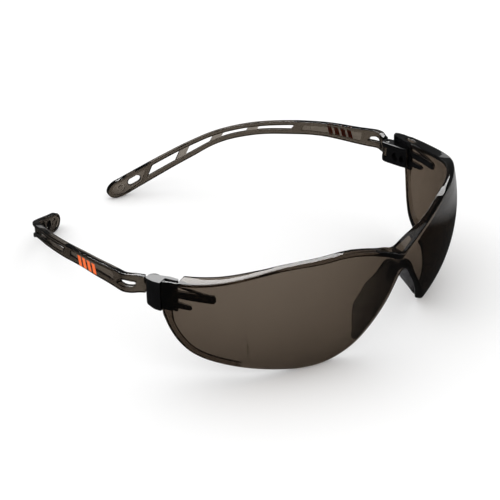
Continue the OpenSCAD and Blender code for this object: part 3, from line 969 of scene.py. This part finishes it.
def noise(nt, scale, detail=3.0, rough=0.55, stretch=None):
    tc = nt.nodes.new("ShaderNodeTexCoord")
    src = tc.outputs["Object"]
    if stretch:
        mp = nt.nodes.new("ShaderNodeMapping")
        mp.inputs["Scale"].default_value = stretch
        nt.links.new(src, mp.inputs["Vector"])
        src = mp.outputs[0]
    n = nt.nodes.new("ShaderNodeTexNoise")
    n.inputs["Scale"].default_value = scale
    n.inputs["Detail"].default_value = detail
    n.inputs["Roughness"].default_value = rough
    nt.links.new(src, n.inputs["Vector"])
    return n.outputs[0]


def span(nt, src, lo, hi, a=0.3, b=0.7):
    m = nt.nodes.new("ShaderNodeMapRange")
    m.inputs["From Min"].default_value = a
    m.inputs["From Max"].default_value = b
    m.inputs["To Min"].default_value = lo
    m.inputs["To Max"].default_value = hi
    nt.links.new(src, m.inputs["Value"])
    return m.outputs[0]


def bump(nt, src, strength, dist, p):
    b = nt.nodes.new("ShaderNodeBump")
    b.inputs["Strength"].default_value = strength
    b.inputs["Distance"].default_value = dist
    nt.links.new(src, b.inputs["Height"])
    nt.links.new(b.outputs[0], p.inputs["Normal"])
    return b


def smoke(name, per_mm, rough_lo, rough_hi, wave, base=(0.96, 0.95, 0.94)):
    """Tinted clear plastic: glass surface, absorbing inside, lamps shine through it."""
    m, nt, p, out = nodes_of(name)
    p.inputs["Transmission Weight"].default_value = 1.0
    p.inputs["IOR"].default_value = 1.585
    fine = noise(nt, 900, 4)
    big = noise(nt, 60, 3)
    tint = ramp(nt, big, [(0.35, tuple(c * 0.97 for c in base)), (0.65, base)])
    nt.links.new(tint, p.inputs["Base Color"])
    mix = nt.nodes.new("ShaderNodeMath")
    mix.operation = "MULTIPLY"
    nt.links.new(fine, mix.inputs[0])
    nt.links.new(big, mix.inputs[1])
    nt.links.new(span(nt, mix.outputs[0], rough_lo, rough_hi, 0.15, 0.4), p.inputs["Roughness"])
    bump(nt, big, wave, 0.00006, p)
    k = max(per_mm) * 1000 * 1.02
    vol = nt.nodes.new("ShaderNodeVolumeAbsorption")
    vol.inputs["Density"].default_value = k
    vol.inputs["Color"].default_value = (*[1 - c * 1000 / k for c in per_mm], 1)
    nt.links.new(vol.outputs[0], out.inputs["Volume"])
    lp = nt.nodes.new("ShaderNodeLightPath")
    tr = nt.nodes.new("ShaderNodeBsdfTransparent")
    tr.inputs["Color"].default_value = (0.95, 0.95, 0.95, 1)
    mx = nt.nodes.new("ShaderNodeMixShader")
    nt.links.new(lp.outputs["Is Shadow Ray"], mx.inputs[0])
    nt.links.new(p.outputs[0], mx.inputs[1])
    nt.links.new(tr.outputs[0], mx.inputs[2])
    nt.links.new(mx.outputs[0], out.inputs["Surface"])
    return m


def black_plastic():
    m, nt, p, out = nodes_of("black_plastic")
    p.inputs["IOR"].default_value = 1.5
    p.inputs["Specular IOR Level"].default_value = 0.85
    n1 = noise(nt, 260, 4)
    n2 = noise(nt, 2600, 2)
    nt.links.new(ramp(nt, n1, [(0.3, (0.0015, 0.0015, 0.0018)), (0.7, (0.004, 0.004, 0.0045))]), p.inputs["Base Color"])
    nt.links.new(span(nt, n1, 0.08, 0.17), p.inputs["Roughness"])
    bump(nt, n2, 0.08, 0.00002, p)
    return m


def steel():
    m, nt, p, out = nodes_of("pin_steel")
    p.inputs["Metallic"].default_value = 1.0
    n1 = noise(nt, 900, 3, stretch=(1, 1, 0.1))
    nt.links.new(ramp(nt, n1, [(0.3, (0.42, 0.42, 0.41)), (0.7, (0.60, 0.60, 0.59))]), p.inputs["Base Color"])
    nt.links.new(span(nt, n1, 0.2, 0.38), p.inputs["Roughness"])
    bump(nt, n1, 0.15, 0.00002, p)
    return m


def orange():
    m, nt, p, out = nodes_of("orange_print")
    n1 = noise(nt, 700, 4)
    n2 = noise(nt, 4200, 3)
    nt.links.new(ramp(nt, n1, [(0.25, (0.80, 0.115, 0.018)), (0.75, (0.92, 0.165, 0.03))]), p.inputs["Base Color"])
    nt.links.new(span(nt, n2, 0.32, 0.5), p.inputs["Roughness"])
    bump(nt, n2, 0.2, 0.00002, p)
    # painted glow: a small orange emission stands in for light that comes through the thin ink from the other side
    p.inputs["Emission Color"].default_value = (0.9, 0.12, 0.03, 1)
    p.inputs["Emission Strength"].default_value = 0.12
    return m


SMOKE = (0.87, 0.97, 1.08)
M_LENS = smoke("smoke_lens", SMOKE, 0.0, 0.035, 0.25)
M_TEMPLE = smoke("smoke_temple", (1.0, 1.08, 1.18), 0.03, 0.1, 0.5)
M_BLACK = black_plastic()
M_RUBBER = smoke("nose_rubber", (1.25, 1.26, 1.24), 0.14, 0.26, 0.15, (0.94, 0.94, 0.95))
M_STEEL = steel()
M_ORANGE = orange()


def put(ob, mat, body, slot, *nodes):
    ob.data.materials.clear()
    ob.data.materials.append(mat)
    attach(ob, body)
    if nodes:
        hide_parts(*nodes)
    return ob


lens = put(build_lens(), M_LENS, "front", "smoke_lens", "lens")
nose = put(build_nose(), M_RUBBER, "front", "nose_rubber", "nose_piece")

t_left = build_temple()
t_right = mirrored(t_left, "temple_right_arm_mesh")
put(t_left, M_TEMPLE, "temple_left_arm", "smoke_temple", "temple_left")
put(t_right, M_TEMPLE, "temple_right_arm", "smoke_temple", "temple_right")

b_left = build_block()
b_right = mirrored(b_left, "hinge_block_right_mesh")
put(b_left, M_BLACK, "front", "black_plastic", "hinge_block_left")
put(b_right, M_BLACK, "front", "black_plastic", "hinge_block_right")

p_left = build_pin()
p_right = mirrored(p_left, "hinge_pin_right_mesh")
put(p_left, M_STEEL, "front", "pin_steel", "hinge_pin_left")
put(p_right, M_STEEL, "front", "pin_steel", "hinge_pin_right")

m_left = build_mark("mark_left", 19.6)
m_right0 = build_mark("mark_r", 24.0)
m_right = mirrored(m_right0, "mark_right")
bpy.data.objects.remove(m_right0)
put(m_left, M_ORANGE, "temple_left_arm", None)
put(m_right, M_ORANGE, "temple_right_arm", None)


# ------------------------------------------------------------------ floor, light
def mirror_only(nt, lp):
    """1 for rays mirrored off a surface, 0 for rays that went through one."""
    inv = nt.nodes.new("ShaderNodeMath")
    inv.operation = "SUBTRACT"
    inv.inputs[0].default_value = 1.0
    nt.links.new(lp.outputs["Is Transmission Ray"], inv.inputs[1])
    m = nt.nodes.new("ShaderNodeMath")
    m.operation = "MULTIPLY"
    nt.links.new(lp.outputs["Is Glossy Ray"], m.inputs[0])
    nt.links.new(inv.outputs[0], m.inputs[1])
    return m.outputs[0]


def build_stage():
    me = bpy.data.meshes.new("floor")
    bm = bmesh.new()
    bmesh.ops.create_grid(bm, x_segments=24, y_segments=24, size=3.0)
    bm.to_mesh(me)
    bm.free()
    floor = bpy.data.objects.new("floor", me)
    floor.location = (0, 0, -0.0003)
    bpy.context.scene.collection.objects.link(floor)
    m, nt, p, out = nodes_of("floor_paint")
    p.inputs["Specular IOR Level"].default_value = 0.0
    n1 = noise(nt, 6, 3)
    nt.links.new(ramp(nt, n1, [(0.3, (0.97, 0.97, 0.97)), (0.7, (0.985, 0.985, 0.985))]), p.inputs["Base Color"])
    nt.links.new(span(nt, n1, 0.8, 0.95), p.inputs["Roughness"])
    # painted reflection: rays mirrored off the floor see a painted dark card instead of the pale floor, darker at low
    # X, standing in for black flags round a product table
    lp = nt.nodes.new("ShaderNodeLightPath")
    dk = nt.nodes.new("ShaderNodeBsdfDiffuse")
    tc = nt.nodes.new("ShaderNodeTexCoord")
    sx = nt.nodes.new("ShaderNodeSeparateXYZ")
    nt.links.new(tc.outputs["Object"], sx.inputs[0])
    painted_reflection_card = span(nt, sx.outputs["X"], 0.03, 0.42, 0.096, 0.125)
    nt.links.new(painted_reflection_card, dk.inputs["Color"])
    mx = nt.nodes.new("ShaderNodeMixShader")
    nt.links.new(mirror_only(nt, lp), mx.inputs[0])
    nt.links.new(p.outputs[0], mx.inputs[1])
    nt.links.new(dk.outputs[0], mx.inputs[2])
    nt.links.new(mx.outputs[0], out.inputs["Surface"])
    me.materials.append(m)

    w = bpy.data.worlds.new("studio")
    bpy.context.scene.world = w
    w.use_nodes = True
    nt = w.node_tree
    bg = next(n for n in nt.nodes if n.type == "BACKGROUND")
    out = next(n for n in nt.nodes if n.type == "OUTPUT_WORLD")
    bg.inputs["Color"].default_value = (1, 1, 1, 1)
    bg.inputs["Strength"].default_value = 1.15
    dim = nt.nodes.new("ShaderNodeBackground")
    dim.inputs["Color"].default_value = (0.97, 0.98, 1, 1)
    dim.inputs["Strength"].default_value = 0.06
    lp = nt.nodes.new("ShaderNodeLightPath")
    mx = nt.nodes.new("ShaderNodeMixShader")
    nt.links.new(mirror_only(nt, lp), mx.inputs[0])
    nt.links.new(bg.outputs[0], mx.inputs[1])
    nt.links.new(dim.outputs[0], mx.inputs[2])
    nt.links.new(mx.outputs[0], out.inputs["Surface"])

    def softbox(name, direction, dist, sx, sy, radiance):
        d = Vector(direction).normalized()
        lt = bpy.data.lights.new(name, "AREA")
        lt.shape, lt.size, lt.size_y = "RECTANGLE", sx, sy
        lt.energy = radiance * math.pi * sx * sy
        ob = bpy.data.objects.new(name, lt)
        ob.location = d * dist
        ob.rotation_mode = "QUATERNION"
        ob.rotation_quaternion = d.to_track_quat("Z", "Y")
        ob.visible_camera = False
        ob.visible_diffuse = False
        bpy.context.scene.collection.objects.link(ob)
        return ob

    softbox("back_softbox", (0.669, 0.743, 0.835), 1.5, 0.9, 0.54, 4.2)
    softbox("top_softbox", (-0.1, 0.1, 1.0), 1.3, 0.5, 0.5, 0.6)
    bpy.context.scene.view_settings.view_transform = "Standard"


build_stage()
